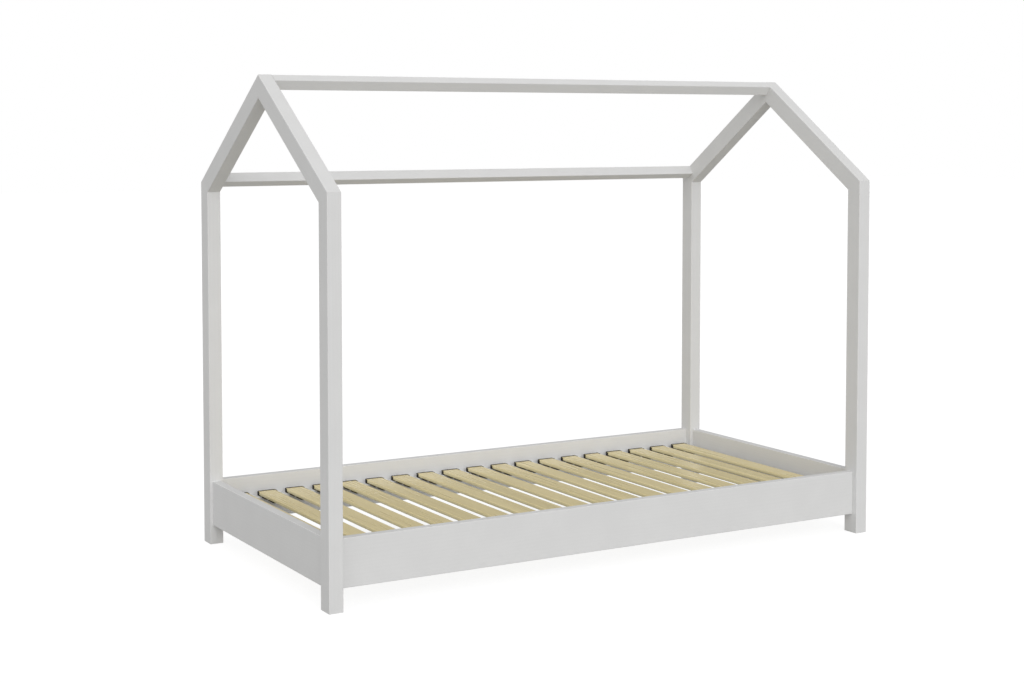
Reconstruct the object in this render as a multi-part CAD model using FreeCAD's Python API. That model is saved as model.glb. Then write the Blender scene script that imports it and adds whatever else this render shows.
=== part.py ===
import FreeCAD, Part
import math
import os

# House frame bed: two gables of one square-edged stock with mitred corners, four skirt boards let in
# between the posts, a ridge beam, a rear eave beam, and flat slats in moulded sprung holders.
# The boards and the slat base stand a little nearer the rear and the right than the posts' middle.
# Millimetres. X runs along the bed, Y from front to rear, Z up from the floor; the origin is on the
# floor under the middle of the bed.

V = FreeCAD.Vector

# ---- overall ----
overall_length = 2010.0
overall_width = 1022.0
ridge_height = 1552.0
shoulder_height = 1208.0

# ---- posts and rafters, one stock ----
stock_width = 45.0
stock_depth = 60.0
arris_radius = 2.0

# ---- skirt boards ----
foot_height = 64.0
rail_height = 146.0
rail_thickness = 30.0

# ---- how far each board's outer face stands back from the posts' outer faces ----
front_rail_setback = 21.0
rear_rail_setback = 3.0
left_rail_setback = 9.0
right_rail_setback = 2.0

# ---- ridge and eave beams, one stock ----
beam_depth = 36.0
beam_breadth = 32.0
eave_beam_rise = 55.0

# ---- slats ----
slat_count = 19
slat_width = 64.0
slat_thickness = 12.0
slat_edge_radius = 4.0
well_depth = 50.5
left_holder_gap = 29.8
right_holder_gap = 34.6

# ---- ledges under the holders ----
ledge_width = 40.0
ledge_height = 40.0
ledge_end_gap = 2.0

# ---- moulded slat holder ----
holder_rail_gap = 19.2
holder_play = 0.2
holder_side_wall = 1.2
holder_end_wall = 3.0
holder_base = 1.5
holder_rim = 1.5
shoe_heel_bevel = 3.5
shoe_wall_length = 13.0
shoe_length = 31.0
tongue_width = 36.0
tongue_thickness = 2.5
tongue_lap = 6.0
pad_corner = 7.0
pad_thickness = 3.0
first_pad_start = 36.0
first_pad_length = 45.0
second_pad_start = 93.0
second_pad_length = 55.0

# ---- loose tongues in the mitres ----
mitre_tongue_thickness = 6.0
mitre_tongue_width = 30.0
mitre_tongue_length = 40.0

# ---- stub tenons of the end rails ----
tenon_thickness = 12.0
tenon_shoulder = 18.0
tenon_length = 16.0

# ---- stub tenons of the beams ----
beam_tenon_length = 14.0
beam_tenon_breadth = 12.0
beam_tenon_depth = 14.0
beam_tenon_inset = 15.0
beam_tenon_drop = 6.0

# ---- slanting screw pockets at the beam ends ----
beam_pocket_angle = 15.0
beam_pocket_inset = 8.5
beam_pocket_drop = 28.0
beam_pocket_end = 20.0
beam_pocket_radius = 4.75
beam_pocket_length = 60.0

# ---- hook fitting between the side rails and the posts ----
plate_thickness = 2.5
plate_width = 20.0
plate_height = 114.0
hook_levels = (42.0, 96.0)
hook_thickness = 3.0
hook_neck = 9.0
hook_drop = 9.0
hook_finger = 5.0
slot_lift = 11.0
hook_room = 3.0

# ---- running clearances ----
tenon_clearance = 0.1
tenon_end_clearance = 0.5
plate_clearance = 0.1
hook_clearance = 0.3

# ---- worked out from the sizes above ----
half_length = overall_length / 2
half_width = overall_width / 2
post_inner_x = half_length - stock_width
post_inner_y = half_width - stock_depth
pitch = math.atan2(ridge_height - shoulder_height, half_width)
mitre_lean = (math.pi / 2 - pitch) / 2
mitre_drop = stock_depth * math.tan(mitre_lean)
apex_drop = stock_depth / math.cos(pitch)
side_rail_outer_y = {-1: half_width - front_rail_setback, 1: half_width - rear_rail_setback}
end_rail_outer_x = {-1: half_length - left_rail_setback, 1: half_length - right_rail_setback}
rail_top = foot_height + rail_height
slat_top = rail_top - well_depth
slat_bottom = slat_top - slat_thickness
ledge_top = slat_bottom - holder_base
holder_width = slat_width + 2 * (holder_side_wall + holder_play)
slat_inset = rail_thickness + holder_rail_gap + holder_end_wall + holder_play
pocket_lean = math.radians(beam_pocket_angle)

X_AXIS = V(1, 0, 0)
Y_AXIS = V(0, 1, 0)
Z_AXIS = V(0, 0, 1)
ENDS = {"left": -1, "right": 1}
SIDES = {"front": -1, "rear": 1}


# ---------------------------------------------------------------- shapes shared by several pieces

def box(x_range, y_range, z_range):
    """A block between pairs of limits, given in either order."""
    low = V(min(x_range), min(y_range), min(z_range))
    size = V(max(x_range), max(y_range), max(z_range)) - low
    return Part.makeBox(size.x, size.y, size.z, low)


def rod(radius, start, direction, length):
    """A round bar from a point along a direction."""
    return Part.makeCylinder(radius, length, start, direction)


def prism(corners, push):
    """A straight-sided solid: a closed outline pushed along a vector."""
    outline = Part.makePolygon(corners + [corners[0]])
    return Part.Face(outline).extrude(push)


def eased(bar, direction, radius):
    """A bar with its long edges rounded over."""
    long_edges = [edge for edge in bar.Edges if edge.Curve.Direction.cross(direction).Length < 1e-6]
    return bar.makeFillet(radius, long_edges)


def slab(start, first, second, push):
    """A straight bar from three vectors square to each other."""
    return prism([start, start + first, start + first + second, start + second], push)


# ---------------------------------------------------------------- gables

def up_slope(side):
    """Direction up the front (-1) or rear (+1) slope."""
    return V(0, -side * math.cos(pitch), math.sin(pitch))


def out_of_slope(side):
    """Direction square to the front (-1) or rear (+1) slope, away from the inside."""
    return V(0, side * math.sin(pitch), math.cos(pitch))


def make_post(end, side):
    """A post, square at the floor and mitred at the shoulder."""
    x = min(end * half_length, end * post_inner_x)
    outer = side * half_width
    inner = side * post_inner_y
    outline = [V(x, outer, 0), V(x, inner, 0), V(x, inner, shoulder_height - mitre_drop),
               V(x, outer, shoulder_height)]
    return eased(prism(outline, X_AXIS * stock_width), Z_AXIS, arris_radius)


def make_rafter(end, side):
    """A rafter, mitred to the post at the shoulder and to its twin at the apex."""
    x = min(end * half_length, end * post_inner_x)
    outline = [V(x, side * half_width, shoulder_height), V(x, 0, ridge_height),
               V(x, 0, ridge_height - apex_drop), V(x, side * post_inner_y, shoulder_height - mitre_drop)]
    return eased(prism(outline, X_AXIS * stock_width), up_slope(side), arris_radius)


def mitre_tongue(middle, down_mitre, play):
    """A loose plywood tongue across a mitre, or with play its groove in both pieces."""
    across = X_AXIS.cross(down_mitre)
    width = across * (mitre_tongue_width + 2 * play)
    length = down_mitre * (mitre_tongue_length + 2 * play)
    thickness = X_AXIS * (mitre_tongue_thickness + 2 * play)
    return slab(middle - (width + length + thickness) * 0.5, width, length, thickness)


def shoulder_mitre(end, side):
    """Middle of a shoulder mitre and its direction from the outer to the inner corner."""
    x = end * (half_length - stock_width / 2)
    down_mitre = V(0, -side * math.cos(mitre_lean), -math.sin(mitre_lean))
    mitre_length = stock_depth / math.cos(mitre_lean)
    return V(x, side * half_width, shoulder_height) + down_mitre * (mitre_length / 2), down_mitre


def apex_mitre(end):
    """Middle of the apex mitre of one gable and its direction downwards."""
    x = end * (half_length - stock_width / 2)
    return V(x, 0, ridge_height - apex_drop / 2), Z_AXIS * -1


# ---------------------------------------------------------------- skirt boards and their fittings

def side_rail_y(side, inset):
    """Y of a plane at a distance inwards from the outer face of the front (-1) or rear (+1) rail."""
    return side * (side_rail_outer_y[side] - inset)


def make_side_rail(side):
    """A long skirt board between the two front or the two rear posts."""
    y_range = (side_rail_y(side, 0), side_rail_y(side, rail_thickness))
    board = box((-post_inner_x, post_inner_x), y_range, (foot_height, rail_top))
    return eased(board, X_AXIS, arris_radius)


def end_rail_tenons(end, play, extra):
    """The stub tenons of an end rail as one bar from post to post, or with play their mortises."""
    mid_x = end * (end_rail_outer_x[end] - rail_thickness / 2)
    reach = post_inner_y + tenon_length + extra
    z_range = (foot_height + tenon_shoulder - play, rail_top - tenon_shoulder + play)
    half = tenon_thickness / 2 + play
    return box((mid_x - half, mid_x + half), (-reach, reach), z_range)


def make_end_rail(end):
    """A short skirt board let into the two posts of one gable."""
    x_range = (end * end_rail_outer_x[end], end * (end_rail_outer_x[end] - rail_thickness))
    board = box(x_range, (-post_inner_y, post_inner_y), (foot_height, rail_top))
    return eased(board, Y_AXIS, arris_radius).fuse(end_rail_tenons(end, 0, 0))


def plate_z_range(play):
    """Lower and upper edge of the two plates of a fitting, or with play of their recesses."""
    middle = foot_height + rail_height / 2
    return (middle - plate_height / 2 - play, middle + plate_height / 2 + play)


def hook_outline(foot, into_post):
    """A hook in profile from the foot of its neck: the neck, and a finger turned down behind the plate."""
    near = into_post * (plate_thickness + hook_clearance)
    far = near + into_post * hook_finger
    top = Z_AXIS * hook_neck
    tip = Z_AXIS * -hook_drop
    return [foot, foot + top, foot + far + top, foot + far + tip, foot + near + tip, foot + near]


def make_hook_plate(end, side):
    """The plate let in flush with a side rail's end, with two hooks that reach into the post."""
    mid_y = side_rail_y(side, rail_thickness / 2)
    x_range = (end * post_inner_x, end * (post_inner_x - plate_thickness))
    plate = box(x_range, (mid_y - plate_width / 2, mid_y + plate_width / 2), plate_z_range(0))
    hooks = []
    for level in hook_levels:
        foot = V(end * post_inner_x, mid_y - hook_thickness / 2, foot_height + level)
        hooks.append(prism(hook_outline(foot, X_AXIS * end), Y_AXIS * hook_thickness))
    return plate.multiFuse(hooks).removeSplitter()


def hook_slots(end, side, depth):
    """The two slots of a post's plate, or deeper the hollows in line with them in the post."""
    mid_y = side_rail_y(side, rail_thickness / 2)
    half = hook_thickness / 2 + hook_clearance
    x_range = (end * post_inner_x, end * (post_inner_x + depth))
    slots = []
    for level in hook_levels:
        z_range = (foot_height + level, foot_height + level + hook_neck + slot_lift)
        slots.append(box(x_range, (mid_y - half, mid_y + half), z_range))
    return slots


def make_slot_plate(end, side):
    """The slotted plate let in flush with a post's inner face."""
    mid_y = side_rail_y(side, rail_thickness / 2)
    x_range = (end * post_inner_x, end * (post_inner_x + plate_thickness))
    plate = box(x_range, (mid_y - plate_width / 2, mid_y + plate_width / 2), plate_z_range(0))
    return plate.cut(hook_slots(end, side, plate_thickness))


def plate_recess(end, side, direction):
    """The shallow recess for a plate, in the post (+1) or in the rail's end (-1)."""
    mid_y = side_rail_y(side, rail_thickness / 2)
    half = plate_width / 2 + plate_clearance
    x_range = (end * post_inner_x, end * (post_inner_x + direction * plate_thickness))
    return box(x_range, (mid_y - half, mid_y + half), plate_z_range(plate_clearance))


def hook_hollows(end, side):
    """The hollows in a post that take the hooks' fingers."""
    depth = plate_thickness + hook_clearance + hook_finger + hook_room
    hollows = hook_slots(end, side, depth)
    for lower in hook_slots(end, side, depth):
        lower.translate(Z_AXIS * -(hook_drop + hook_room))
        hollows.append(lower)
    return hollows


# ---------------------------------------------------------------- ridge and eave beams

def ridge_beam_lie():
    """Corner of the beam's section, direction in from its hidden face, direction of its depth."""
    return V(0, 0, ridge_height), up_slope(-1) * -1, out_of_slope(-1) * -1


def eave_beam_lie():
    """The same for the rear eave beam, whose hidden face looks down the rear slope."""
    corner = V(0, half_width, shoulder_height) + up_slope(1) * (eave_beam_rise - beam_breadth)
    return corner, up_slope(1), out_of_slope(1) * -1


def beam_tenons(lie, play, extra):
    """The stub tenons of a beam as one bar from gable to gable, or with play their mortises."""
    corner, inward, deep = lie
    reach = post_inner_x + beam_tenon_length + extra
    start = corner + inward * (beam_tenon_inset - play) + deep * (beam_tenon_drop - play) - X_AXIS * reach
    breadth = inward * (beam_tenon_breadth + 2 * play)
    return slab(start, breadth, deep * (beam_tenon_depth + 2 * play), X_AXIS * (2 * reach))


def beam_pocket(lie, end):
    """The slanting pocket for a screw, from the beam's hidden face towards its end."""
    corner, inward, deep = lie
    outward = X_AXIS * end
    axis = outward * math.cos(pocket_lean) + inward * math.sin(pocket_lean)
    bottom = corner + outward * (post_inner_x - beam_pocket_end)
    bottom += inward * beam_pocket_inset + deep * beam_pocket_drop
    return rod(beam_pocket_radius, bottom, axis * -1, beam_pocket_length)


def make_beam(lie):
    """A beam that lies in a roof slope, flush with the rafters' outer faces."""
    corner, inward, deep = lie
    start = corner - X_AXIS * post_inner_x
    beam = slab(start, inward * beam_breadth, deep * beam_depth, X_AXIS * (2 * post_inner_x))
    beam = eased(beam, X_AXIS, arris_radius).fuse(beam_tenons(lie, 0, 0))
    return beam.cut([beam_pocket(lie, end) for end in ENDS.values()])


# ---------------------------------------------------------------- slat base

def slat_places():
    """X positions of the slats' middle lines, evenly spread between the end rails."""
    first = rail_thickness + left_holder_gap + holder_width / 2 - end_rail_outer_x[-1]
    last = end_rail_outer_x[1] - rail_thickness - right_holder_gap - holder_width / 2
    return [first + (last - first) * number / (slat_count - 1) for number in range(slat_count)]


def make_slat(x):
    """A flat laminated slat with rounded long edges."""
    y_range = [side_rail_y(side, slat_inset) for side in SIDES.values()]
    slat = box((x - slat_width / 2, x + slat_width / 2), y_range, (slat_bottom, slat_top))
    return eased(slat, Y_AXIS, slat_edge_radius)


def make_ledge(side):
    """The batten inside a side rail that the holders stand on."""
    half = post_inner_x - ledge_end_gap
    y_range = (side_rail_y(side, rail_thickness), side_rail_y(side, rail_thickness + ledge_width))
    batten = box((-half, half), y_range, (ledge_top - ledge_height, ledge_top))
    return eased(batten, X_AXIS, arris_radius)


def make_pad(start, length):
    """A bearing pad of the tongue: a plate as wide as the shoe with cut-off corners."""
    half = holder_width / 2
    cut = half - pad_corner
    finish = start + length
    right_half = [V(cut, start, 0), V(half, start + pad_corner, 0), V(half, finish - pad_corner, 0),
                  V(cut, finish, 0)]
    left_half = [V(-corner.x, corner.y, 0) for corner in reversed(right_half)]
    return prism(right_half + left_half, Z_AXIS * -pad_thickness)


def make_shoe():
    """The shoe that takes a slat's end: a thin base, an end wall with a bevelled heel, two side walls."""
    half = holder_width / 2
    block = box((-half, half), (0, shoe_length), (-holder_base, slat_thickness + holder_rim))
    heel = [edge for edge in block.Edges if edge.CenterOfMass.y < 1e-6 and
            abs(edge.CenterOfMass.z + holder_base) < 1e-6]
    block = block.makeChamfer(shoe_heel_bevel, heel)
    room = slat_width / 2 + holder_play
    above = slat_thickness + holder_rim + 1
    seat = box((-room, room), (holder_end_wall, shoe_length), (0, above))
    over_walls = box((-half, half), (holder_end_wall, shoe_length), (slat_thickness, above))
    past_walls = box((-half, half), (shoe_wall_length, shoe_length), (0, above))
    return block.cut([seat, over_walls, past_walls])


def make_holder():
    """A holder in its own frame: Y runs inwards from the end wall, Z up from the slat's underside."""
    tongue_end = second_pad_start + second_pad_length / 2
    tongue = box((-tongue_width / 2, tongue_width / 2), (shoe_length - tongue_lap, tongue_end), (-tongue_thickness, 0))
    pads = [make_pad(first_pad_start, first_pad_length), make_pad(second_pad_start, second_pad_length)]
    return make_shoe().multiFuse([tongue] + pads).removeSplitter().Solids[0]


def holders_along(side):
    """The row of holders on one ledge."""
    turn = FreeCAD.Rotation(Z_AXIS, 90 + 90 * side)
    row = []
    for x in slat_places():
        holder = make_holder()
        face_y = side_rail_y(side, rail_thickness + holder_rail_gap)
        holder.Placement = FreeCAD.Placement(V(x, face_y, slat_bottom), turn)
        row.append(holder)
    return row


# ---------------------------------------------------------------- assembly

nodes = {}
cuts = {}


def add(node, *solids):
    """Put solids into a named piece or a named set of alike fittings."""
    nodes.setdefault(node, []).extend(solids)


def cut_from(hollow, *wooden_nodes):
    """Note a drilling, groove or mortise to be cut from the pieces it passes through."""
    for node in wooden_nodes:
        cuts.setdefault(node, []).append(hollow)


def fit_side_rail_end(end, side, post, rail):
    """The two plates where a side rail hooks into a post, with their recesses."""
    add("rail_hook_plates", make_hook_plate(end, side))
    add("post_slot_plates", make_slot_plate(end, side))
    cut_from(plate_recess(end, side, -1), rail)
    cut_from(plate_recess(end, side, 1), post)
    for hollow in hook_hollows(end, side):
        cut_from(hollow, post)


for side_name, side in SIDES.items():
    add(side_name + "_side_rail", make_side_rail(side))
    add(side_name + "_slat_ledge", make_ledge(side))
    add("slat_holders_" + side_name, *holders_along(side))

for number, x in enumerate(slat_places(), start=1):
    add("slat_%02d" % number, make_slat(x))

for end_name, end in ENDS.items():
    end_rail = end_name + "_end_rail"
    add(end_rail, make_end_rail(end))
    rafters = [end_name + "_" + side_name + "_rafter" for side_name in SIDES]
    for side_name, side in SIDES.items():
        post = side_name + "_" + end_name + "_post"
        rafter = end_name + "_" + side_name + "_rafter"
        add(post, make_post(end, side))
        add(rafter, make_rafter(end, side))
        fit_side_rail_end(end, side, post, side_name + "_side_rail")
        cut_from(end_rail_tenons(end, tenon_clearance, tenon_end_clearance), post)
        middle, down_mitre = shoulder_mitre(end, side)
        add("shoulder_tongues", mitre_tongue(middle, down_mitre, 0))
        cut_from(mitre_tongue(middle, down_mitre, tenon_clearance), post, rafter)
    middle, down_mitre = apex_mitre(end)
    add("apex_tongues", mitre_tongue(middle, down_mitre, 0))
    cut_from(mitre_tongue(middle, down_mitre, tenon_clearance), *rafters)

for beam, lie, side_name in (("ridge_beam", ridge_beam_lie(), "front"),
                             ("rear_eave_beam", eave_beam_lie(), "rear")):
    add(beam, make_beam(lie))
    mortises = beam_tenons(lie, tenon_clearance, tenon_end_clearance)
    for end_name in ENDS:
        cut_from(mortises, end_name + "_" + side_name + "_rafter")

for node, hollows in cuts.items():
    nodes[node] = nodes[node][0].cut(hollows).Solids

os.makedirs("parts", exist_ok=True)
for node, solids in nodes.items():
    shape = solids[0] if len(solids) == 1 else Part.makeCompound(solids)
    shape.exportStep("parts/" + node + ".step")
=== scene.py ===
# %% [markdown]
# # House frame bed
# A child's bed in the outline of a house: two gables with mitred corners, four skirt boards, a
# ridge beam, a rear eave beam and a base of springy slats in moulded holders. The solids come
# packed from the CAD side, in metres, with the origin on the floor under the middle of the bed. X
# runs along the bed, Y from the front to the rear and Z up. This file dresses them: it keeps the
# straight timbers and gives them a lacquer, and puts finer surfaces in the place of the slats and
# their holders.

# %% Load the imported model
import bpy
import math
import numpy as np
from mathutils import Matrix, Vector


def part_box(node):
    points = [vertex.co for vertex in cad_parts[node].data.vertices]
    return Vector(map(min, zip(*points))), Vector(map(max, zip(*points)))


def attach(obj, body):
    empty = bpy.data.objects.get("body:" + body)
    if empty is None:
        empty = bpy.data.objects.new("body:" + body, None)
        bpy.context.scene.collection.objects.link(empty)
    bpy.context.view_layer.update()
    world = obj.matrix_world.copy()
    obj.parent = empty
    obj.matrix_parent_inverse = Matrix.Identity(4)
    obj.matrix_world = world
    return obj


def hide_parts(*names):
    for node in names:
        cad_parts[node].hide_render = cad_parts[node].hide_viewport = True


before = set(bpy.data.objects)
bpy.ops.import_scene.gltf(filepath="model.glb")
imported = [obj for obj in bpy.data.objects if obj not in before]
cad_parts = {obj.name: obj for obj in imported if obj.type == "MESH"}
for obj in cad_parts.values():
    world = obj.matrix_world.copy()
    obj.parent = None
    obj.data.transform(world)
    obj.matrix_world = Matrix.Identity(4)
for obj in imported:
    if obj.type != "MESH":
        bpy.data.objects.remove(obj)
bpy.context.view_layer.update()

# %% [markdown]
# ## Camera
# The bed was taken from its front left, from a little below ridge height, and looking down by a few
# degrees. The lens is shifted down slightly, as furniture is usually taken, which keeps the posts
# close to upright in the frame. Heading turns the camera from straight at the bed towards the
# right, and the lens is on a 36 mm wide sensor.

# %% Camera
camera_place = (-3.009, -5.003, 1.399)
camera_heading = 30.133
camera_drop = 3.108
lens_length = 61.04
lens_shift = -0.12

lens = bpy.data.cameras.new("camera")
lens.sensor_width = 36.0
lens.lens = lens_length
lens.shift_y = lens_shift
camera = bpy.data.objects.new("camera", lens)
camera.location = camera_place
camera.rotation_euler = (math.radians(90 - camera_drop), 0, -math.radians(camera_heading))
bpy.context.scene.collection.objects.link(camera)
bpy.context.scene.camera = camera
print("camera at", camera_place, "heading", camera_heading)

# %% [markdown]
# ## Nodes made short
# Every finish below is a small network of shader nodes. A few helpers keep the cells readable: one
# adds a node and fills its sockets, where a value is written in and another node's output is wired
# in. The others name what comes up most: a sum, a mix of two colours, a change of range, a noise
# and a relief.

# %% Helpers for nodes
def put(tree, kind, values=(), **settings):
    """Adds a shader node. values maps a socket's name or number to a value or to another socket."""
    node = tree.nodes.new("ShaderNode" + kind)
    for setting, value in settings.items():
        setattr(node, setting, value)
    for socket, value in dict(values).items():
        if isinstance(value, bpy.types.NodeSocket):
            tree.links.new(value, node.inputs[socket])
        else:
            node.inputs[socket].default_value = value
    return node


def sum_of(tree, operation, first, second=0.0, third=0.0):
    """One step of arithmetic on two numbers, or on three for MULTIPLY_ADD."""
    return put(tree, "Math", {0: first, 1: second, 2: third}, operation=operation).outputs[0]


def blend(tree, share, low, high):
    """A colour between low, at share 0, and high, at share 1."""
    return put(tree, "Mix", {0: share, 6: low, 7: high}, data_type="RGBA").outputs[2]


def stretch(tree, value, low, high, new_low, new_high):
    """Moves a number from the range low to high into new_low to new_high, and stops at its ends."""
    return put(tree, "MapRange", {0: value, 1: low, 2: high, 3: new_low, 4: new_high}).outputs[0]


def noise(tree, vector, scale, detail):
    """A cloudy number around one half, with scale clouds to the metre."""
    cloud = put(tree, "TexNoise", {"Vector": vector, "Scale": scale, "Detail": detail})
    return cloud.outputs["Fac"]


def raised(tree, height, distance, strength=1.0):
    """The normal of a skin that is raised by that distance where height is 1."""
    bump = put(tree, "Bump", {"Height": height, "Distance": distance, "Strength": strength})
    return bump.outputs[0]


print("helpers for nodes:", "put, sum_of, blend, stretch, noise and raised")

# %% [markdown]
# ## Light
# The photograph has a shadowless white studio: a broad soft lamp in front, a weaker one on the
# left, and walls that give most of the light. The world does the work of the walls. Rays that go
# straight into the lens meet plain white, while the light that falls on the bed is weaker, so the
# white lacquer doesn't clip. What the lacquer and the wood mirror at a low angle is weaker still,
# as it is in the photograph, where a slat mirrors the white board behind it and hardly anything in
# front of that.

# %% Light
def new_world(fill, mirrored):
    """White to the lens. Its strength is fill as a light and mirrored in a glossy surface."""
    world = bpy.data.worlds.new("studio")
    world.use_nodes = True
    tree = world.node_tree
    tree.nodes.clear()
    path = put(tree, "LightPath").outputs
    strength = stretch(tree, path["Is Glossy Ray"], 0, 1, fill, mirrored)
    strength = stretch(tree, path["Is Camera Ray"], 0, 1, strength, 1.0)
    light = put(tree, "Background", {"Color": (1, 1, 1, 1), "Strength": strength})
    put(tree, "OutputWorld", {"Surface": light.outputs[0]})
    return world


def broad_lamp(name, direction, strength, spread):
    """A lamp in that direction from the bed, so far away that its light is even. It is spread over
    that many degrees."""
    lamp = bpy.data.lights.new(name, "SUN")
    lamp.energy = strength
    lamp.angle = math.radians(spread)
    stand = bpy.data.objects.new(name, lamp)
    stand.rotation_euler = Vector(direction).to_track_quat("Z", "Y").to_euler()
    bpy.context.scene.collection.objects.link(stand)


fill_strength = 0.64
mirrored_strength = 0.22
bpy.context.scene.world = new_world(fill_strength, mirrored_strength)
broad_lamp("front_lamp", direction=(-0.15, -1.0, 0.45), strength=1.10, spread=35)
broad_lamp("left_lamp", direction=(-1.0, -0.35, 0.45), strength=0.30, spread=35)
bpy.context.scene.view_settings.view_transform = "Standard"
print("world fill", fill_strength, "mirrored", mirrored_strength)

# %% [markdown]
# ## Floor
# A pale sheet under the bed. To the lens it is white with a faint soft shadow. For the light that
# falls on the bed it is a middling grey, with a faint glow of its own below each side board, where
# light comes in under the board. That glow lights the slats and their holders from beneath. From
# below the sheet is clear, so that the underside of the bed can be looked at. It lies a hair below
# the feet, and is clear to rays as short as that, so that the ends of the feet aren't black.

# %% New materials and meshes
def new_material(name):
    """An empty material and its node tree."""
    material = bpy.data.materials.new(name)
    material.use_nodes = True
    material.node_tree.nodes.clear()
    return material, material.node_tree


def mesh_object(name, vertices, faces):
    """A smooth mesh object at the origin from a list of points and a list of faces."""
    mesh = bpy.data.meshes.new(name)
    mesh.from_pydata(vertices, [], faces)
    mesh.polygons.foreach_set("use_smooth", [True] * len(mesh.polygons))
    mesh.update()
    piece = bpy.data.objects.new(name, mesh)
    bpy.context.scene.collection.objects.link(piece)
    return piece


print("helpers:", "new_material and mesh_object")

# %% Floor material
seen_glow = 0.866
seen_shade = 0.24
bounce_grey = 0.50
side_glow = 0.45
glow_ends = (0.90, 1.00)
glow_inside = (0.22, 0.45)
glow_outside = (0.45, 0.55)
short_ray = (0.001, 0.002)


def floor_material():
    """The lens sees a sheet that glows by seen_glow and reflects seen_shade of its light, so that
    only this share takes a shadow. Other rays meet a sheet that reflects bounce_grey. Along each
    side of the bed it also glows by side_glow, which fades out along X over glow_ends, and along Y
    comes in over glow_inside and fades out over glow_outside, all in metres from the middle of the
    bed."""
    material, tree = new_material("pale_floor")
    place = put(tree, "TexCoord").outputs["Object"]
    cloud = noise(tree, place, 2.0, 3.0)
    tint = blend(tree, cloud, (bounce_grey, bounce_grey, bounce_grey, 1),
                 (bounce_grey * 1.03, bounce_grey * 1.03, bounce_grey, 1))
    body = put(tree, "BsdfDiffuse", {"Color": tint})
    apart = put(tree, "SeparateXYZ", {0: place}).outputs
    along, across = [sum_of(tree, "ABSOLUTE", apart[axis]) for axis in (0, 1)]
    within = sum_of(tree, "MULTIPLY", stretch(tree, along, *glow_ends, side_glow, 0),
                    stretch(tree, across, *glow_outside, 1, 0))
    glow_below = sum_of(tree, "MULTIPLY", within, stretch(tree, across, *glow_inside, 0, 1))
    lit = put(tree, "Emission", {"Color": (1, 1, 1, 1), "Strength": glow_below})
    body = put(tree, "AddShader", {0: body.outputs[0], 1: lit.outputs[0]})
    seen_body = put(tree, "BsdfDiffuse", {"Color": (seen_shade, seen_shade, seen_shade, 1)})
    light = put(tree, "Emission", {"Color": (1, 1, 1, 1), "Strength": seen_glow})
    seen = put(tree, "AddShader", {0: seen_body.outputs[0], 1: light.outputs[0]})
    path = put(tree, "LightPath").outputs
    top = put(tree, "MixShader", {0: path["Is Camera Ray"], 1: body.outputs[0], 2: seen.outputs[0]})
    clear = put(tree, "BsdfTransparent")
    below = put(tree, "NewGeometry").outputs["Backfacing"]
    under_foot = stretch(tree, path["Ray Length"], *short_ray, 1, 0)
    gone = sum_of(tree, "MAXIMUM", below, under_foot)
    whole = put(tree, "MixShader", {0: gone, 1: top.outputs[0], 2: clear.outputs[0]})
    put(tree, "OutputMaterial", {"Surface": whole.outputs[0]})
    return material


print("floor glow to the lens", seen_glow, "and below the side boards", side_glow)

# %% Floor
floor_reach = 30.0
floor_height = -0.0003
floor_corners = [(floor_reach * x, floor_reach * y, floor_height)
                 for x, y in ((-1, -1), (1, -1), (1, 1), (-1, 1))]
floor = mesh_object("floor", floor_corners, [(0, 1, 2, 3)])
floor.data.materials.append(floor_material())
print("floor", floor_reach * 2, "m square")

# %% [markdown]
# ## Shared effects
# Three things come up in more than one finish, so each is a node group with named sockets: the
# grain of timber, the rubbed look of an edge, and the fine unevenness of a sprayed or moulded skin.

# %% A new node group
def new_group(name, takes, gives):
    """A node group, the outputs of its input node and the inputs of its output node."""
    group = bpy.data.node_groups.new(name, "ShaderNodeTree")
    for label, kind, value in takes:
        socket = group.interface.new_socket(label, in_out="INPUT", socket_type="NodeSocket" + kind)
        if value is not None:
            socket.default_value = value
    for label in gives:
        group.interface.new_socket(label, in_out="OUTPUT", socket_type="NodeSocketFloat")
    inside = group.nodes.new("NodeGroupInput").outputs
    outside = group.nodes.new("NodeGroupOutput").inputs
    return group, inside, outside


def use_group(tree, group, values):
    """Places a node group in a tree and fills its sockets."""
    return put(tree, "Group", values, node_tree=group).outputs


print("helpers for groups:", "new_group and use_group")

# %% [markdown]
# Timber grain runs along X of the vector it is given. The vector is squeezed along X, so that every
# spot becomes a streak. One broad noise bends the growth lines, a wave draws them, and a fine noise
# gives the short dark pores.

# %% Grain of timber
def squeezed(tree, vector, share):
    """A vector with that share of its X, so that a round spot of noise becomes a streak along X."""
    return put(tree, "VectorMath", {0: vector, 1: (share, 1, 1)}, operation="MULTIPLY").outputs[0]


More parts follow.
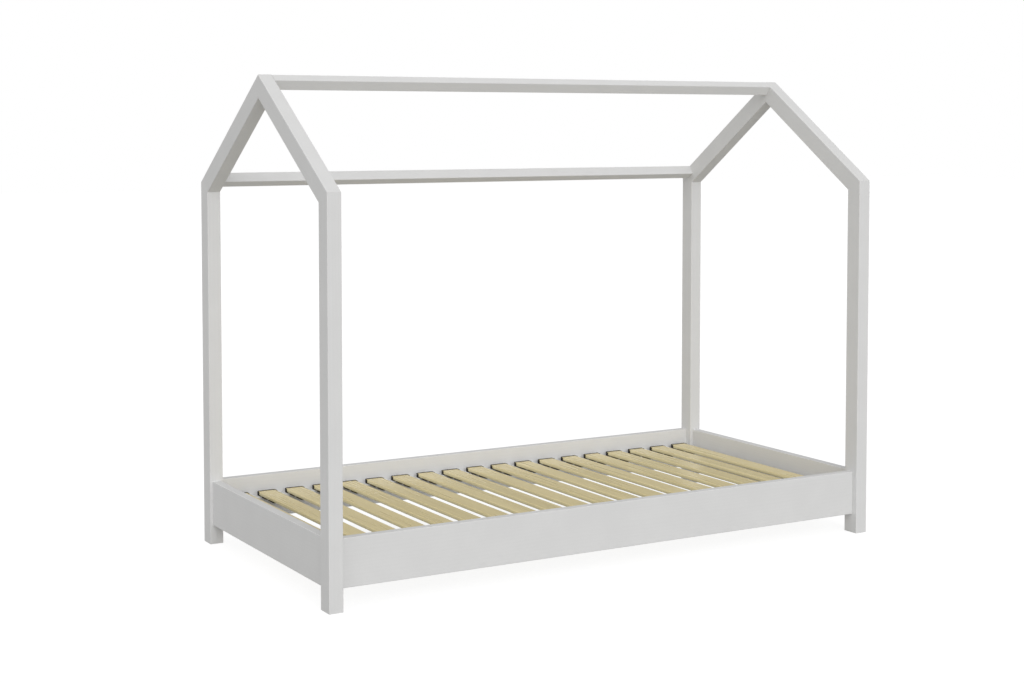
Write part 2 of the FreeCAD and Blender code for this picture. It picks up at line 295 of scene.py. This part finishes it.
def make_grain():
    """Lines of growth, fine pores and a slow change of tone, each from 0 to 1."""
    group, takes, gives = new_group(
        "timber_grain", [("Vector", "Vector", None), ("Spacing", "Float", 0.006),
                         ("Pore Size", "Float", 0.0008)], ["Lines", "Pores", "Tone"])
    long_grain = squeezed(group, takes["Vector"], 0.07)
    frequency = sum_of(group, "DIVIDE", 1.0, takes["Spacing"])
    bend = noise(group, long_grain, 9.0, 2.0)
    axes = put(group, "SeparateXYZ", {0: long_grain}).outputs
    across = sum_of(group, "ADD", axes[1], sum_of(group, "MULTIPLY", axes[2], 0.6))
    across = sum_of(group, "ADD", across, sum_of(group, "MULTIPLY", bend, 0.035))
    turns = sum_of(group, "MULTIPLY", across, sum_of(group, "MULTIPLY", frequency, math.tau))
    ring = sum_of(group, "MULTIPLY_ADD", sum_of(group, "SINE", turns), 0.5, 0.5)
    group.links.new(sum_of(group, "POWER", ring, 2.2), gives["Lines"])
    pore_place = squeezed(group, takes["Vector"], 0.05)
    pore_scale = sum_of(group, "DIVIDE", 1.0, takes["Pore Size"])
    pores = noise(group, pore_place, pore_scale, 2.0)
    group.links.new(stretch(group, pores, 0.52, 0.72, 0, 1), gives["Pores"])
    tone = noise(group, long_grain, 22.0, 3.0)
    group.links.new(stretch(group, tone, 0.3, 0.7, 0, 1), gives["Tone"])
    return group


timber_grain = make_grain()
print("node group", timber_grain.name)

# %% [markdown]
# A rubbed edge is where the surface turns within a millimetre or two. The Bevel node gives the
# normal that a rounder edge would have, and the further it leans from the real one, the nearer the
# edge is. A noise breaks the line up, because hands and cloths never rub evenly.

# %% Rubbed edges
def make_rubbed_edges():
    """A mask that is 1 on edges and 0 on flats, broken up by a noise."""
    group, takes, gives = new_group(
        "rubbed_edges", [("Vector", "Vector", None), ("Radius", "Float", 0.002),
                         ("Strength", "Float", 1.0)], ["Mask"])
    rounded = put(group, "Bevel", {"Radius": takes["Radius"]}, samples=4).outputs[0]
    straight = put(group, "NewGeometry").outputs["Normal"]
    alike = put(group, "VectorMath", {0: rounded, 1: straight}, operation="DOT_PRODUCT")
    edge = stretch(group, alike.outputs["Value"], 0.995, 0.90, 0, 1)
    patches = noise(group, takes["Vector"], 45.0, 4.0)
    broken = sum_of(group, "MULTIPLY", edge, stretch(group, patches, 0.35, 0.65, 0.25, 1))
    group.links.new(sum_of(group, "MULTIPLY", broken, takes["Strength"]), gives["Mask"])
    return group


rubbed_edges = make_rubbed_edges()
print("node group", rubbed_edges.name)

# %% [markdown]
# No sprayed or moulded skin is quite even. Up close it is pebbled like the peel of an orange, and
# over a hand's breadth it is a little duller here and there, where it was wiped or took more of the
# spray.

# %% Uneven skin
def make_uneven_skin():
    """The pebbling as a height, and the slow unevenness, both from 0 to 1."""
    group, takes, gives = new_group(
        "uneven_skin", [("Vector", "Vector", None), ("Pebble", "Float", 0.0015),
                        ("Patch", "Float", 0.09)], ["Height", "Patches"])
    fine = sum_of(group, "DIVIDE", 1.0, takes["Pebble"])
    pebbles = noise(group, takes["Vector"], fine, 1.0)
    group.links.new(pebbles, gives["Height"])
    slow = sum_of(group, "DIVIDE", 1.0, takes["Patch"])
    patches = noise(group, takes["Vector"], slow, 3.0)
    group.links.new(stretch(group, patches, 0.3, 0.7, 0, 1), gives["Patches"])
    return group


uneven_skin = make_uneven_skin()
print("node group", uneven_skin.name)

# %% [markdown]
# ## White lacquer
# The timbers are sprayed a clean, slightly warm white, satin rather than glossy. The grain barely
# shows as a relief under it, and the film is thinner and a touch paler along the edges. Grain
# follows the length of a timber, so the same finish is made five times, each turned by a Mapping
# node so that its own X lies along the timber.

# %% White lacquer
lacquer_tone = (0.745, 0.744, 0.740)


def lacquer(name, turn):
    """White satin lacquer over timber whose length lies along X after that turn, in degrees."""
    material, tree = new_material(name)
    spot = put(tree, "TexCoord").outputs["Object"]
    turned = tuple(math.radians(angle) for angle in turn)
    along = put(tree, "Mapping", {"Vector": spot, "Rotation": turned}).outputs[0]
    grain = use_group(tree, timber_grain, {"Vector": along, "Spacing": 0.007, "Pore Size": 0.0012})
    uneven = use_group(tree, uneven_skin, {"Vector": spot})
    edges = use_group(tree, rubbed_edges, {"Vector": spot, "Radius": 0.0025})["Mask"]
    low = tuple(0.985 * part for part in lacquer_tone) + (1,)
    high = tuple(1.012 * part for part in lacquer_tone) + (1,)
    cover = sum_of(tree, "MULTIPLY_ADD", grain["Lines"], -0.35, uneven["Patches"])
    film = blend(tree, cover, low, high)
    film = blend(tree, sum_of(tree, "MULTIPLY", edges, 0.6), film, (0.79, 0.78, 0.76, 1))
    dull = stretch(tree, uneven["Patches"], 0, 1, 0.46, 0.56)
    dull = sum_of(tree, "MULTIPLY_ADD", edges, -0.06, dull)
    relief = sum_of(tree, "MULTIPLY", uneven["Height"], 0.5)
    relief = sum_of(tree, "MULTIPLY_ADD", grain["Lines"], 0.5, relief)
    relief = sum_of(tree, "MULTIPLY_ADD", grain["Pores"], -0.25, relief)
    bump = raised(tree, relief, 0.00006)
    surface = put(tree, "BsdfPrincipled", {"Base Color": film, "Roughness": dull, "Normal": bump,
                                           "Specular IOR Level": 0.12})
    put(tree, "OutputMaterial", {"Surface": surface.outputs[0]})
    return material


roof_pitch = 33.95
turn_of = {"upright": (0, 90, 0), "lengthwise": (0, 0, 0), "crosswise": (0, 0, -90),
           "front_slope": (-roof_pitch, 0, -90), "rear_slope": (roof_pitch, 0, -90)}
lacquer_for = {way: lacquer("white_lacquer_" + way, turn) for way, turn in turn_of.items()}
timbers = {"upright": ["front_left_post", "front_right_post", "rear_left_post", "rear_right_post"],
           "lengthwise": ["front_side_rail", "rear_side_rail", "front_slat_ledge",
                          "rear_slat_ledge", "ridge_beam", "rear_eave_beam"],
           "crosswise": ["left_end_rail", "right_end_rail"],
           "front_slope": ["left_front_rafter", "right_front_rafter"],
           "rear_slope": ["left_rear_rafter", "right_rear_rafter"]}


def finish_with(material, *nodes):
    """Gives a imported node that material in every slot."""
    for node in nodes:
        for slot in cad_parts[node].material_slots:
            slot.material = material


for way, nodes in timbers.items():
    finish_with(lacquer_for[way], *nodes)
print("lacquered", sum(len(nodes) for nodes in timbers.values()), "timbers")

# %% [markdown]
# ## Surfaces from grids
# Every new piece is a grid of points: rings that follow each other along a path, closed round each
# ring. One helper turns such an array into a mesh. A flat end is closed by one face with as many
# corners as the ring has points.

# %% From a grid to a mesh
def ring_faces(rings, points, first=0):
    """The faces of a closed skin over a grid of rings, both ends capped, all facing outwards."""
    number = np.arange(rings * points).reshape(rings, points) + first
    ahead = np.roll(number, -1, axis=1)
    sides = np.stack([number[:-1], ahead[:-1], ahead[1:], number[1:]], axis=-1).reshape(-1, 4)
    return sides.tolist() + [number[0, ::-1].tolist(), number[-1].tolist()]


def skin(name, grids):
    """One mesh object from several grids of shape (rings, points, 3)."""
    vertices, faces, first = [], [], 0
    for grid in grids:
        faces += ring_faces(grid.shape[0], grid.shape[1], first)
        vertices.append(grid.reshape(-1, 3))
        first += grid.shape[0] * grid.shape[1]
    return mesh_object(name, np.concatenate(vertices).tolist(), faces)


print("a bar of 3 rings of 8 points has", len(ring_faces(3, 8)), "faces")

# %% [markdown]
# ## Slats
# A springy slat is a stack of thin veneers glued into one flat bar, with its long edges rounded
# over and its ends lightly broken. A cuboid with a Bevel modifier would do for the shape. A section
# carried along the slat does it in one step and puts the points where the light turns, so that is
# used here.

# %% Section of a slat
flat_lead = 0.12


def heading(angle):
    """The unit vectors (cos t, sin t)."""
    return np.stack([np.cos(angle), np.sin(angle)], axis=-1)


def rounded_section(half_wide, half_thick, radius, steps):
    """A rounded rectangle as points: each corner's centre plus the radius times (cos t, sin t) over
    its own quarter turn, with one more point flat_lead radii along each flat, so that the flats
    shade flat."""
    quarter = np.linspace(0, math.pi / 2, steps)
    turn = quarter[None, :] + np.arange(4)[:, None] * math.pi / 2
    side = np.array([[1, 1], [-1, 1], [-1, -1], [1, -1]], dtype=float)
    centre = side * np.array([half_wide - radius, half_thick - radius])
    arc = centre[:, None, :] + radius * heading(turn)
    lead = radius * flat_lead
    before = arc[:, :1] - heading(turn[:, :1] + math.pi / 2) * lead
    after = arc[:, -1:] + heading(turn[:, -1:] + math.pi / 2) * lead
    return np.concatenate([before, arc, after], axis=1).reshape(-1, 2)


print("a section has", len(rounded_section(0.032, 0.006, 0.004, 7)), "points")

# %% Shape of a slat
slat_count = 19
slat_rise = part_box("slat_01")[0].z
slat_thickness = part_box("slat_01")[1].z - slat_rise
slat_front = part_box("slat_01")[0].y
slat_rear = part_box("slat_01")[1].y
slat_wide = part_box("slat_01")[1].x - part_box("slat_01")[0].x
slat_edge = 0.004
end_break = 0.0012
end_lead = 0.002


def slat_grid(middle):
    """Rings along Y. At a distance e (1 - sin t) from a slat's end the ring is smaller by
    e (1 - cos t), as t goes from a quarter turn to 0 and e is end_break. One more ring, end_lead
    further in, keeps the rest of the slat flat to look at."""
    turn = np.linspace(math.pi / 2, 0, 4)
    shrink = end_break * (1 - np.cos(turn))
    inset = end_break * (1 - np.sin(turn))
    past_end = inset[-1:] + end_lead
    along = np.concatenate([slat_front + inset, slat_front + past_end,
                            slat_rear - past_end, slat_rear - inset[::-1]])
    shrink = np.concatenate([shrink, [0, 0], shrink[::-1]])
    half_wide, half_thick = slat_wide / 2, slat_thickness / 2
    rings = np.stack([rounded_section(half_wide - less, half_thick - less, slat_edge - less, 7)
                      for less in shrink])
    place = np.broadcast_to(along[:, None], rings.shape[:2])
    height = rings[..., 1] + slat_rise + slat_thickness / 2
    return np.stack([middle - rings[..., 0], place, height], axis=-1)


print("a slat is", round(slat_wide, 4), "m wide,", round(slat_thickness, 4), "m thick and",
      round(slat_rear - slat_front, 4), "m long")

# %% The nineteen slats
def slat_name(number):
    """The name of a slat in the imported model, counted from 0."""
    return "slat_%02d" % (number + 1)


def slat_middle(number):
    """Where the middle of a slat lies along X."""
    low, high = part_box(slat_name(number))
    return (low.x + high.x) / 2


slats = []
dice = np.random.default_rng(7)
for number in range(slat_count):
    piece = skin("springy_" + slat_name(number), [slat_grid(slat_middle(number))])
    tone = piece.data.attributes.new("tone", "FLOAT", "POINT")
    tone.data.foreach_set("value", np.full(len(piece.data.vertices), dice.uniform(0, 1)))
    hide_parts(slat_name(number))
    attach(piece, "root")
    slats.append(piece)
print("slats", len(slats), "of", len(slats[0].data.polygons), "faces each")

# %% [markdown]
# The veneers are pale wood, rotary cut, so the face shows soft lines along the slat and short fine
# pores. On the long edges the veneer layers show a little lighter and darker by turns, and the glue
# lines show as thin darker stripes, level with the floor. The long edges are also painted lighter
# than the face: painted light for the light they get from below and between the slats. Each slat
# is a little lighter or darker than the next, from a number that its mesh carries.

# %% Slat wood
veneer_count = 7


def slat_wood():
    """Pale veneer with grain along Y, and long edges that show their layers and glue lines and are
    painted lighter than the face, as painted light from below.
    """
    material, tree = new_material("slat_veneer")
    spot = put(tree, "TexCoord").outputs["Object"]
    along = put(tree, "Mapping", {"Vector": spot, "Rotation": (0, 0, -math.pi / 2)}).outputs[0]
    grain = use_group(tree, timber_grain, {"Vector": along, "Spacing": 0.009, "Pore Size": 0.0011})
    own = put(tree, "Attribute", attribute_name="tone").outputs["Fac"]
    body = blend(tree, grain["Tone"], (0.76, 0.636, 0.315, 1), (0.87, 0.742, 0.405, 1))
    body = blend(tree, sum_of(tree, "MULTIPLY", grain["Lines"], 0.22), body, (0.60, 0.48, 0.22, 1))
    body = blend(tree, sum_of(tree, "MULTIPLY", grain["Pores"], 0.18), body, (0.45, 0.34, 0.15, 1))
    body = blend(tree, sum_of(tree, "MULTIPLY", own, 0.12), body, (0.86, 0.76, 0.47, 1))
    height = put(tree, "SeparateXYZ", {0: spot}).outputs[2]
    ply = sum_of(tree, "MULTIPLY", sum_of(tree, "SUBTRACT", height, slat_rise),
                 veneer_count / slat_thickness)
    near = sum_of(tree, "ABSOLUTE", sum_of(tree, "SUBTRACT", sum_of(tree, "FRACT", ply), 0.5))
    glue = stretch(tree, near, 0.40, 0.48, 0, 1)
    # Faces that look sideways get a lighter colour than the top: partly the veneer layers and glue
    # lines, partly painted light that stands in for the light from below and between the slats.
    upright = put(tree, "SeparateXYZ", {0: put(tree, "NewGeometry").outputs["Normal"]}).outputs[2]
    sides_layers_and_painted_light = stretch(tree, sum_of(tree, "ABSOLUTE", upright), 0.75, 0.35, 0, 1)
    layer = stretch(tree, sum_of(tree, "PINGPONG", ply, 1.0), 0.2, 0.8, 0, 1)
    edge = blend(tree, layer, (0.88, 0.80, 0.50, 1), (0.80, 0.71, 0.42, 1))
    edge = blend(tree, sum_of(tree, "MULTIPLY", glue, 0.5), edge, (0.58, 0.46, 0.25, 1))
    body = blend(tree, sum_of(tree, "MULTIPLY", sides_layers_and_painted_light, 0.8), body, edge)
    dull = stretch(tree, grain["Tone"], 0, 1, 0.22, 0.34)
    relief = sum_of(tree, "MULTIPLY", grain["Lines"], 0.4)
    relief = sum_of(tree, "MULTIPLY_ADD", grain["Pores"], -0.6, relief)
    bump = raised(tree, relief, 0.00012)
    surface = put(tree, "BsdfPrincipled", {"Base Color": body, "Roughness": dull, "Normal": bump,
                                           "Specular IOR Level": 0.75})
    put(tree, "OutputMaterial", {"Surface": surface.outputs[0]})
    return material


veneer = slat_wood()
for piece in slats:
    piece.data.materials.append(veneer)
print("finish", veneer.name)

# %% [markdown]
# ## Outlines and plates
# The holders are thin plates, cut to an outline and eased all round. An outline is a list of
# corners, each turned into an arc of its own radius. A plate is that outline carried through its
# thickness, and drawn in a little at both faces. Boxes with Boolean cuts would need more steps and
# leave sharp edges.

# %% Outlines and plates
def rounded_outline(corners, radii, steps):
    """A closed outline with round corners. From a corner P the directions a and b go to its
    neighbours, q is the angle between them. The arc of radius r starts and ends r / tan(q / 2) from
    P, and its centre is r / sin(q / 2) from P along a + b. From its first direction d to its last
    direction e it runs as (sin((1 - s) f) d + sin(s f) e) / sin f, where f is pi - q and s goes
    from 0 to 1."""
    corner = np.array(corners, dtype=float)
    radius = np.array(radii, dtype=float)[:, None]
    before = np.roll(corner, 1, axis=0) - corner
    after = np.roll(corner, -1, axis=0) - corner
    before /= np.linalg.norm(before, axis=1, keepdims=True)
    after /= np.linalg.norm(after, axis=1, keepdims=True)
    half = np.arccos((before * after).sum(axis=1, keepdims=True)) / 2
    middle = (before + after) / np.linalg.norm(before + after, axis=1, keepdims=True)
    centre = corner + middle * radius / np.sin(half)
    first = (corner + before * radius / np.tan(half) - centre)[:, None]
    last = (corner + after * radius / np.tan(half) - centre)[:, None]
    turn = (math.pi - 2 * half)[:, :, None]
    share = np.linspace(0, 1, steps)[None, :, None]
    arc = (np.sin((1 - share) * turn) * first + np.sin(share * turn) * last) / np.sin(turn)
    return (centre[:, None] + arc).reshape(-1, 2)


def drawn_in(outline, distance):
    """An anticlockwise outline drawn in, each point square to the line through its neighbours."""
    along = np.roll(outline, -1, axis=0) - np.roll(outline, 1, axis=0)
    inward = np.stack([-along[:, 1], along[:, 0]], axis=1)
    return outline + inward / np.linalg.norm(inward, axis=1, keepdims=True) * distance


def plate_rings(outline, low, high, ease, more=()):
    """Rings from low to high. Over the last ease at both faces the ring is drawn in by
    ease (1 - sin t) at a height ease (1 - cos t) from the face, as t goes through a quarter turn.
    More rings of full size can be asked for, each at a depth from both faces."""
    turn = np.linspace(0, math.pi / 2, 4)
    inwards = np.concatenate([ease * (1 - np.sin(turn)), np.zeros(len(more))])
    depth = np.concatenate([ease * (1 - np.cos(turn)), more])
    inwards = np.concatenate([inwards, inwards[::-1]])
    heights = np.concatenate([low + depth, high - depth[::-1]])
    rings = np.stack([drawn_in(outline, distance) for distance in inwards])
    heights = np.broadcast_to(heights[:, None, None], rings.shape[:2] + (1,))
    return np.concatenate([rings, heights], axis=2)


print("a square with round corners has",
      len(rounded_outline([(0, 0), (1, 0), (1, 1), (0, 1)], [0.2] * 4, 6)), "points")

# %% [markdown]
# ## Slat holders
# Each end of a slat sits in a moulded shoe of near-black plastic: a wall goes round the slat's end
# with rounded corners and runs out low along its sides, and a thin base carries it. From the base a
# tongue runs inwards under the slat and widens into two pads, which give a little under a sleeper.
# In a holder's own frame u runs across the slat, v inwards from the end wall and w up from the
# slat's underside.

# %% Shoe of a holder
holder_half = 0.0334
side_wall = 0.0012
end_wall = 0.003
wall_foot = -0.0004
wall_top = slat_thickness + 0.0015
wall_corner = 0.004
wall_end_corner = 0.0005
inner_corner = 0.0004
side_wall_length = 0.0165
side_drop = 0.0018
tail = 0.009
tail_height = 0.004
base_half = 0.0328
base_end = 0.026
base_corner = 0.003
base_thickness = slat_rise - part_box("rear_slat_ledge")[1].z
shoe_length = 0.031
shoe_ease = 0.0004


def shoe_grids():
    """The wall round the slat's end and the base under it, outlines in u and v carried up w. Near
    its foot a side wall runs on, by tail (1 - w / tail_height)^2 at its end and by less towards its
    middle. Its top is side_drop lower than the end wall's, and reaches that by a square law over
    the corner."""
    outer, inner, length = holder_half, holder_half - side_wall, side_wall_length
    corners = [(-outer, 0), (outer, 0), (outer, length), (inner, length),
               (inner, end_wall), (-inner, end_wall), (-inner, length), (-outer, length)]
    radii = [wall_corner, wall_corner, wall_end_corner, wall_end_corner,
             inner_corner, inner_corner, wall_end_corner, wall_end_corner]
    outline = rounded_outline(corners, radii, 6)
    wall = plate_rings(outline, wall_foot, wall_top, shoe_ease, np.linspace(0.001, tail_height, 5))
    share = np.clip(2 * wall[..., 1] / length - 1, 0, 1)
    wall[..., 1] += tail * share * np.clip(1 - wall[..., 2] / tail_height, 0, 1) ** 2
    aside = np.clip((abs(wall[..., 0]) - outer) / wall_corner + 1, 0, 1)
    wall[..., 2] -= side_drop * aside ** 2 * np.clip(wall[..., 2] / wall_top, 0, 1)
    corners = [(-base_half, end_wall / 2), (base_half, end_wall / 2), (base_half, length),
               (base_end, shoe_length), (-base_end, shoe_length), (-base_half, length)]
    radii = [wall_corner, wall_corner, wall_corner, base_corner, base_corner, wall_corner]
    base = plate_rings(rounded_outline(corners, radii, 6), -base_thickness, 0, shoe_ease)
    return [wall, base]


print("a shoe is", 2 * holder_half, "m wide on a base", round(base_thickness, 4), "m thick")

# %% Tongue of a holder
tongue_half = 0.018
tongue_lap = 0.006
tongue_corner = 0.001
pads = ((0.036, 0.081), (0.093, 0.148))
pad_thickness = 0.0018
pad_corner = 0.007
neck_corner = 0.002
pad_ease = 0.0006


def tongue_grid():
    """The tongue and its pads, one outline in u and v carried down w. Its right side is listed from
    the shoe inwards, out and back again round each pad, and the left side is its mirror image."""
    right, radii = [(tongue_half, shoe_length - tongue_lap)], [tongue_corner]
    for start, finish in pads:
        right += [(tongue_half, start), (holder_half, start)]
        right += [(holder_half, finish), (tongue_half, finish)]
        radii += [neck_corner, pad_corner, pad_corner, neck_corner]
    right, radii = right[:-1], radii[:-1]
    corners = right + [(-u, v) for u, v in reversed(right)]
    outline = rounded_outline(corners, radii + radii[::-1], 5)
    return plate_rings(outline, -pad_thickness, 0, pad_ease)


print("pads from", pads[0][0], "to", pads[-1][1], "m from the end wall")

# %% Two rows of holders
def holder_rows(side):
    """The holders of one ledge. At the front u and v run along X and Y, at the rear against."""
    low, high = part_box("slat_holders_" + side)
    turn, face = (1, low.y) if side == "front" else (-1, high.y)
    holder = [grid * np.array([turn, turn, 1]) for grid in shoe_grids() + [tongue_grid()]]
    grids = []
    for number in range(slat_count):
        origin = np.array([slat_middle(number), face, slat_rise])
        grids += [origin + grid for grid in holder]
    return grids


moulded = []
for side in ("front", "rear"):
    piece = skin("moulded_holders_" + side, holder_rows(side))
    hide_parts("slat_holders_" + side)
    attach(piece, "root")
    moulded.append(piece)
print("holders", 2 * slat_count, "in pieces of", len(moulded[0].data.polygons), "faces")

# %% [markdown]
# The plastic is a glass-filled one, near black with a brown cast. Its skin has the fine grain of
# the mould and is duller where it was eroded most, and its edges catch the light where they have
# been rubbed.

# %% Holder plastic
def holder_plastic():
    """Near-black moulded plastic with a fine grained skin."""
    material, tree = new_material("moulded_plastic")
    spot = put(tree, "TexCoord").outputs["Object"]
    uneven = use_group(tree, uneven_skin, {"Vector": spot, "Pebble": 0.0006, "Patch": 0.02})
    edges = use_group(tree, rubbed_edges, {"Vector": spot, "Radius": 0.0008,
                                           "Strength": 0.7})["Mask"]
    body = blend(tree, uneven["Patches"], (0.016, 0.013, 0.011, 1), (0.026, 0.022, 0.019, 1))
    body = blend(tree, edges, body, (0.045, 0.04, 0.035, 1))
    dull = stretch(tree, uneven["Patches"], 0, 1, 0.48, 0.62)
    dull = sum_of(tree, "MULTIPLY_ADD", edges, -0.08, dull)
    bump = raised(tree, uneven["Height"], 0.00005)
    surface = put(tree, "BsdfPrincipled", {"Base Color": body, "Roughness": dull, "Normal": bump,
                                           "Specular IOR Level": 0.25})
    put(tree, "OutputMaterial", {"Surface": surface.outputs[0]})
    return material


plastic = holder_plastic()
for piece in moulded:
    piece.data.materials.append(plastic)
print("finish", plastic.name)

# %% [markdown]
# ## Screws
# Raised countersunk screws hold the ledges to the side rails, seven along each, and one screw sits
# at the bottom of each slanting pocket at the beams' ends. Only their heads can be seen. A head is
# a low dome turned round its axis, and its cross-shaped recess is pressed in by the same formula,
# so no cutting.

# %% Head of a screw
head_radius = 0.0042
head_rise = 0.0011
rim_depth = 0.0005
recess_depth = 0.0016
recess_half = 0.0007
recess_reach = 0.0026
recess_slope = 0.0004


def soft_step(value, low, high):
    """0 below low, 1 above high and 3t^2 - 2t^3 between them."""
    t = np.clip((value - low) / (high - low), 0, 1)
    return t * t * (3 - 2 * t)


def head_grid(place, axis):
    """Rings from rim_depth under the rim to the middle. At radius r the dome's height is
    head_rise (1 - (r / R)^2), where R is head_radius, less the recess, which is recess_depth where
    either |x| or |y| is under recess_half and r under recess_reach."""
    axis = np.array(axis, dtype=float) / np.linalg.norm(axis)
    side = np.cross(axis, (1, 0, 0) if abs(axis[0]) < 0.7 else (0, 1, 0))
    side /= np.linalg.norm(side)
    radius = np.concatenate([[1, 1], np.linspace(0.97, 0.06, 16)])[:, None] * head_radius
    angle = np.linspace(0, math.tau, 48, endpoint=False)
    x, y = radius * np.cos(angle), radius * np.sin(angle)
    slot = 1 - soft_step(np.minimum(abs(x), abs(y)), recess_half * 0.8, recess_half * 1.2)
    slot *= 1 - soft_step(np.hypot(x, y), recess_reach * 0.9, recess_reach)
    slot *= soft_step(recess_reach - radius, 0, recess_slope)
    height = head_rise * (1 - (radius / head_radius) ** 2) - recess_depth * slot
    height[0] = -rim_depth
    grid = x[..., None] * side + y[..., None] * np.cross(axis, side) + height[..., None] * axis
    return np.array(place) + grid


print("a head has", head_grid((0, 0, 0), (0, 0, 1)).shape[:2], "rings and points")

# %% Screws along the ledges
ledge_screws = 7


def ledge_heads():
    """That many heads along each ledge's inner face, at mid height."""
    heads = []
    for side, inward in (("front", 1), ("rear", -1)):
        low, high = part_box(side + "_slat_ledge")
        face = high.y if inward > 0 else low.y
        for share in (np.arange(ledge_screws) + 0.5) / ledge_screws:
            place = (low.x + share * (high.x - low.x), face, (low.z + high.z) / 2)
            heads.append(head_grid(place, (0, inward, 0)))
    return heads


print("heads along the ledges", len(ledge_heads()))

# %% Screws in the beams
pocket_lean = math.radians(15.0)
pocket_end = 0.020
pocket_inset = 0.0085
pocket_drop = 0.028
eave_from_shoulder = 0.023
head_sunk = 0.0004


def pocket_heads():
    """One head in each slanting pocket of the two beams, on the pocket's flat bottom. For each beam
    the list lies holds an edge, the way square to its hidden face and the way down into the roof.
    From there a bottom is pocket_end short of the post, pocket_inset in from the face and
    pocket_drop down."""
    rise, run = math.sin(math.radians(roof_pitch)), math.cos(math.radians(roof_pitch))
    front_up, front_out = np.array([0, run, rise]), np.array([0, -rise, run])
    rear_up, rear_out = np.array([0, -run, rise]), np.array([0, rise, run])
    apex = np.array([0, 0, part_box("left_front_rafter")[1].z])
    shoulder = np.array([0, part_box("rear_left_post")[1].y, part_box("rear_left_post")[1].z])
    eave = shoulder + rear_up * eave_from_shoulder
    lies = ((apex, -front_up, -front_out), (eave, rear_up, -rear_out))
    post_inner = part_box("front_right_post")[0].x
    heads = []
    for corner, inward, deep in lies:
        for end in (-1, 1):
            outward = np.array([end, 0, 0])
            axis = outward * math.cos(pocket_lean) + inward * math.sin(pocket_lean)
            bottom = corner + outward * (post_inner - pocket_end)
            bottom = bottom + inward * pocket_inset + deep * pocket_drop
            heads.append(head_grid(bottom - axis * head_sunk, -axis))
    return heads


heads = ledge_heads() + pocket_heads()
screws = skin("screw_heads", heads)
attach(screws, "root")
print("screw heads", len(heads), "with", len(screws.data.polygons), "faces")

# %% [markdown]
# ## Zinc and plywood
# The hook plates, the slotted plates and the screws are zinc-plated steel: bright, faintly yellow
# and blue in patches, with fine rolling marks. The loose tongues in the mitres are birch plywood,
# whose layers run by turns along and across. Both are hidden once the bed stands, and get their
# finish all the same, for the views of single pieces.

# %% Zinc
def zinc_plating():
    """Bright zinc with slow patches of tint and fine drawn lines."""
    material, tree = new_material("zinc_plating")
    spot = put(tree, "TexCoord").outputs["Object"]
    uneven = use_group(tree, uneven_skin, {"Vector": spot, "Pebble": 0.0005, "Patch": 0.012})
    drawn = put(tree, "VectorMath", {0: spot, 1: (1, 1, 0.03)}, operation="MULTIPLY").outputs[0]
    lines = noise(tree, drawn, 1800.0, 1.0)
    edges = use_group(tree, rubbed_edges, {"Vector": spot, "Radius": 0.0006})["Mask"]
    body = blend(tree, uneven["Patches"], (0.56, 0.57, 0.60, 1), (0.66, 0.65, 0.60, 1))
    body = blend(tree, edges, body, (0.74, 0.74, 0.73, 1))
    dull = stretch(tree, uneven["Patches"], 0, 1, 0.26, 0.36)
    dull = sum_of(tree, "MULTIPLY_ADD", lines, 0.12, dull)
    bump = raised(tree, lines, 0.00001)
    surface = put(tree, "BsdfPrincipled", {"Base Color": body, "Metallic": 1.0, "Roughness": dull,
                                           "Normal": bump})
    put(tree, "OutputMaterial", {"Surface": surface.outputs[0]})
    return material


zinc = zinc_plating()
screws.data.materials.append(zinc)
finish_with(zinc, "rail_hook_plates", "post_slot_plates")
print("finish", zinc.name)

# %% Plywood
ply_thickness = 0.0012


def birch_plywood():
    """Layers ply_thickness thick, stacked along X, light and dark by turns, with grain along Z."""
    material, tree = new_material("birch_plywood")
    spot = put(tree, "TexCoord").outputs["Object"]
    upright = put(tree, "Mapping", {"Vector": spot, "Rotation": (0, math.pi / 2, 0)}).outputs[0]
    grain = use_group(tree, timber_grain, {"Vector": upright, "Spacing": 0.005,
                                           "Pore Size": 0.0008})
    across = put(tree, "SeparateXYZ", {0: spot}).outputs[0]
    layer = sum_of(tree, "PINGPONG", sum_of(tree, "DIVIDE", across, ply_thickness), 1.0)
    body = blend(tree, grain["Tone"], (0.66, 0.50, 0.32, 1), (0.76, 0.62, 0.43, 1))
    body = blend(tree, stretch(tree, layer, 0.35, 0.65, 0, 0.5), body, (0.50, 0.34, 0.19, 1))
    body = blend(tree, sum_of(tree, "MULTIPLY", grain["Pores"], 0.4), body, (0.38, 0.25, 0.13, 1))
    dull = stretch(tree, grain["Tone"], 0, 1, 0.6, 0.75)
    bump = raised(tree, grain["Pores"], 0.0001, -1.0)
    surface = put(tree, "BsdfPrincipled", {"Base Color": body, "Roughness": dull, "Normal": bump,
                                           "Specular IOR Level": 0.2})
    put(tree, "OutputMaterial", {"Surface": surface.outputs[0]})
    return material


plywood = birch_plywood()
finish_with(plywood, "shoulder_tongues", "apex_tongues")
print("finish", plywood.name)
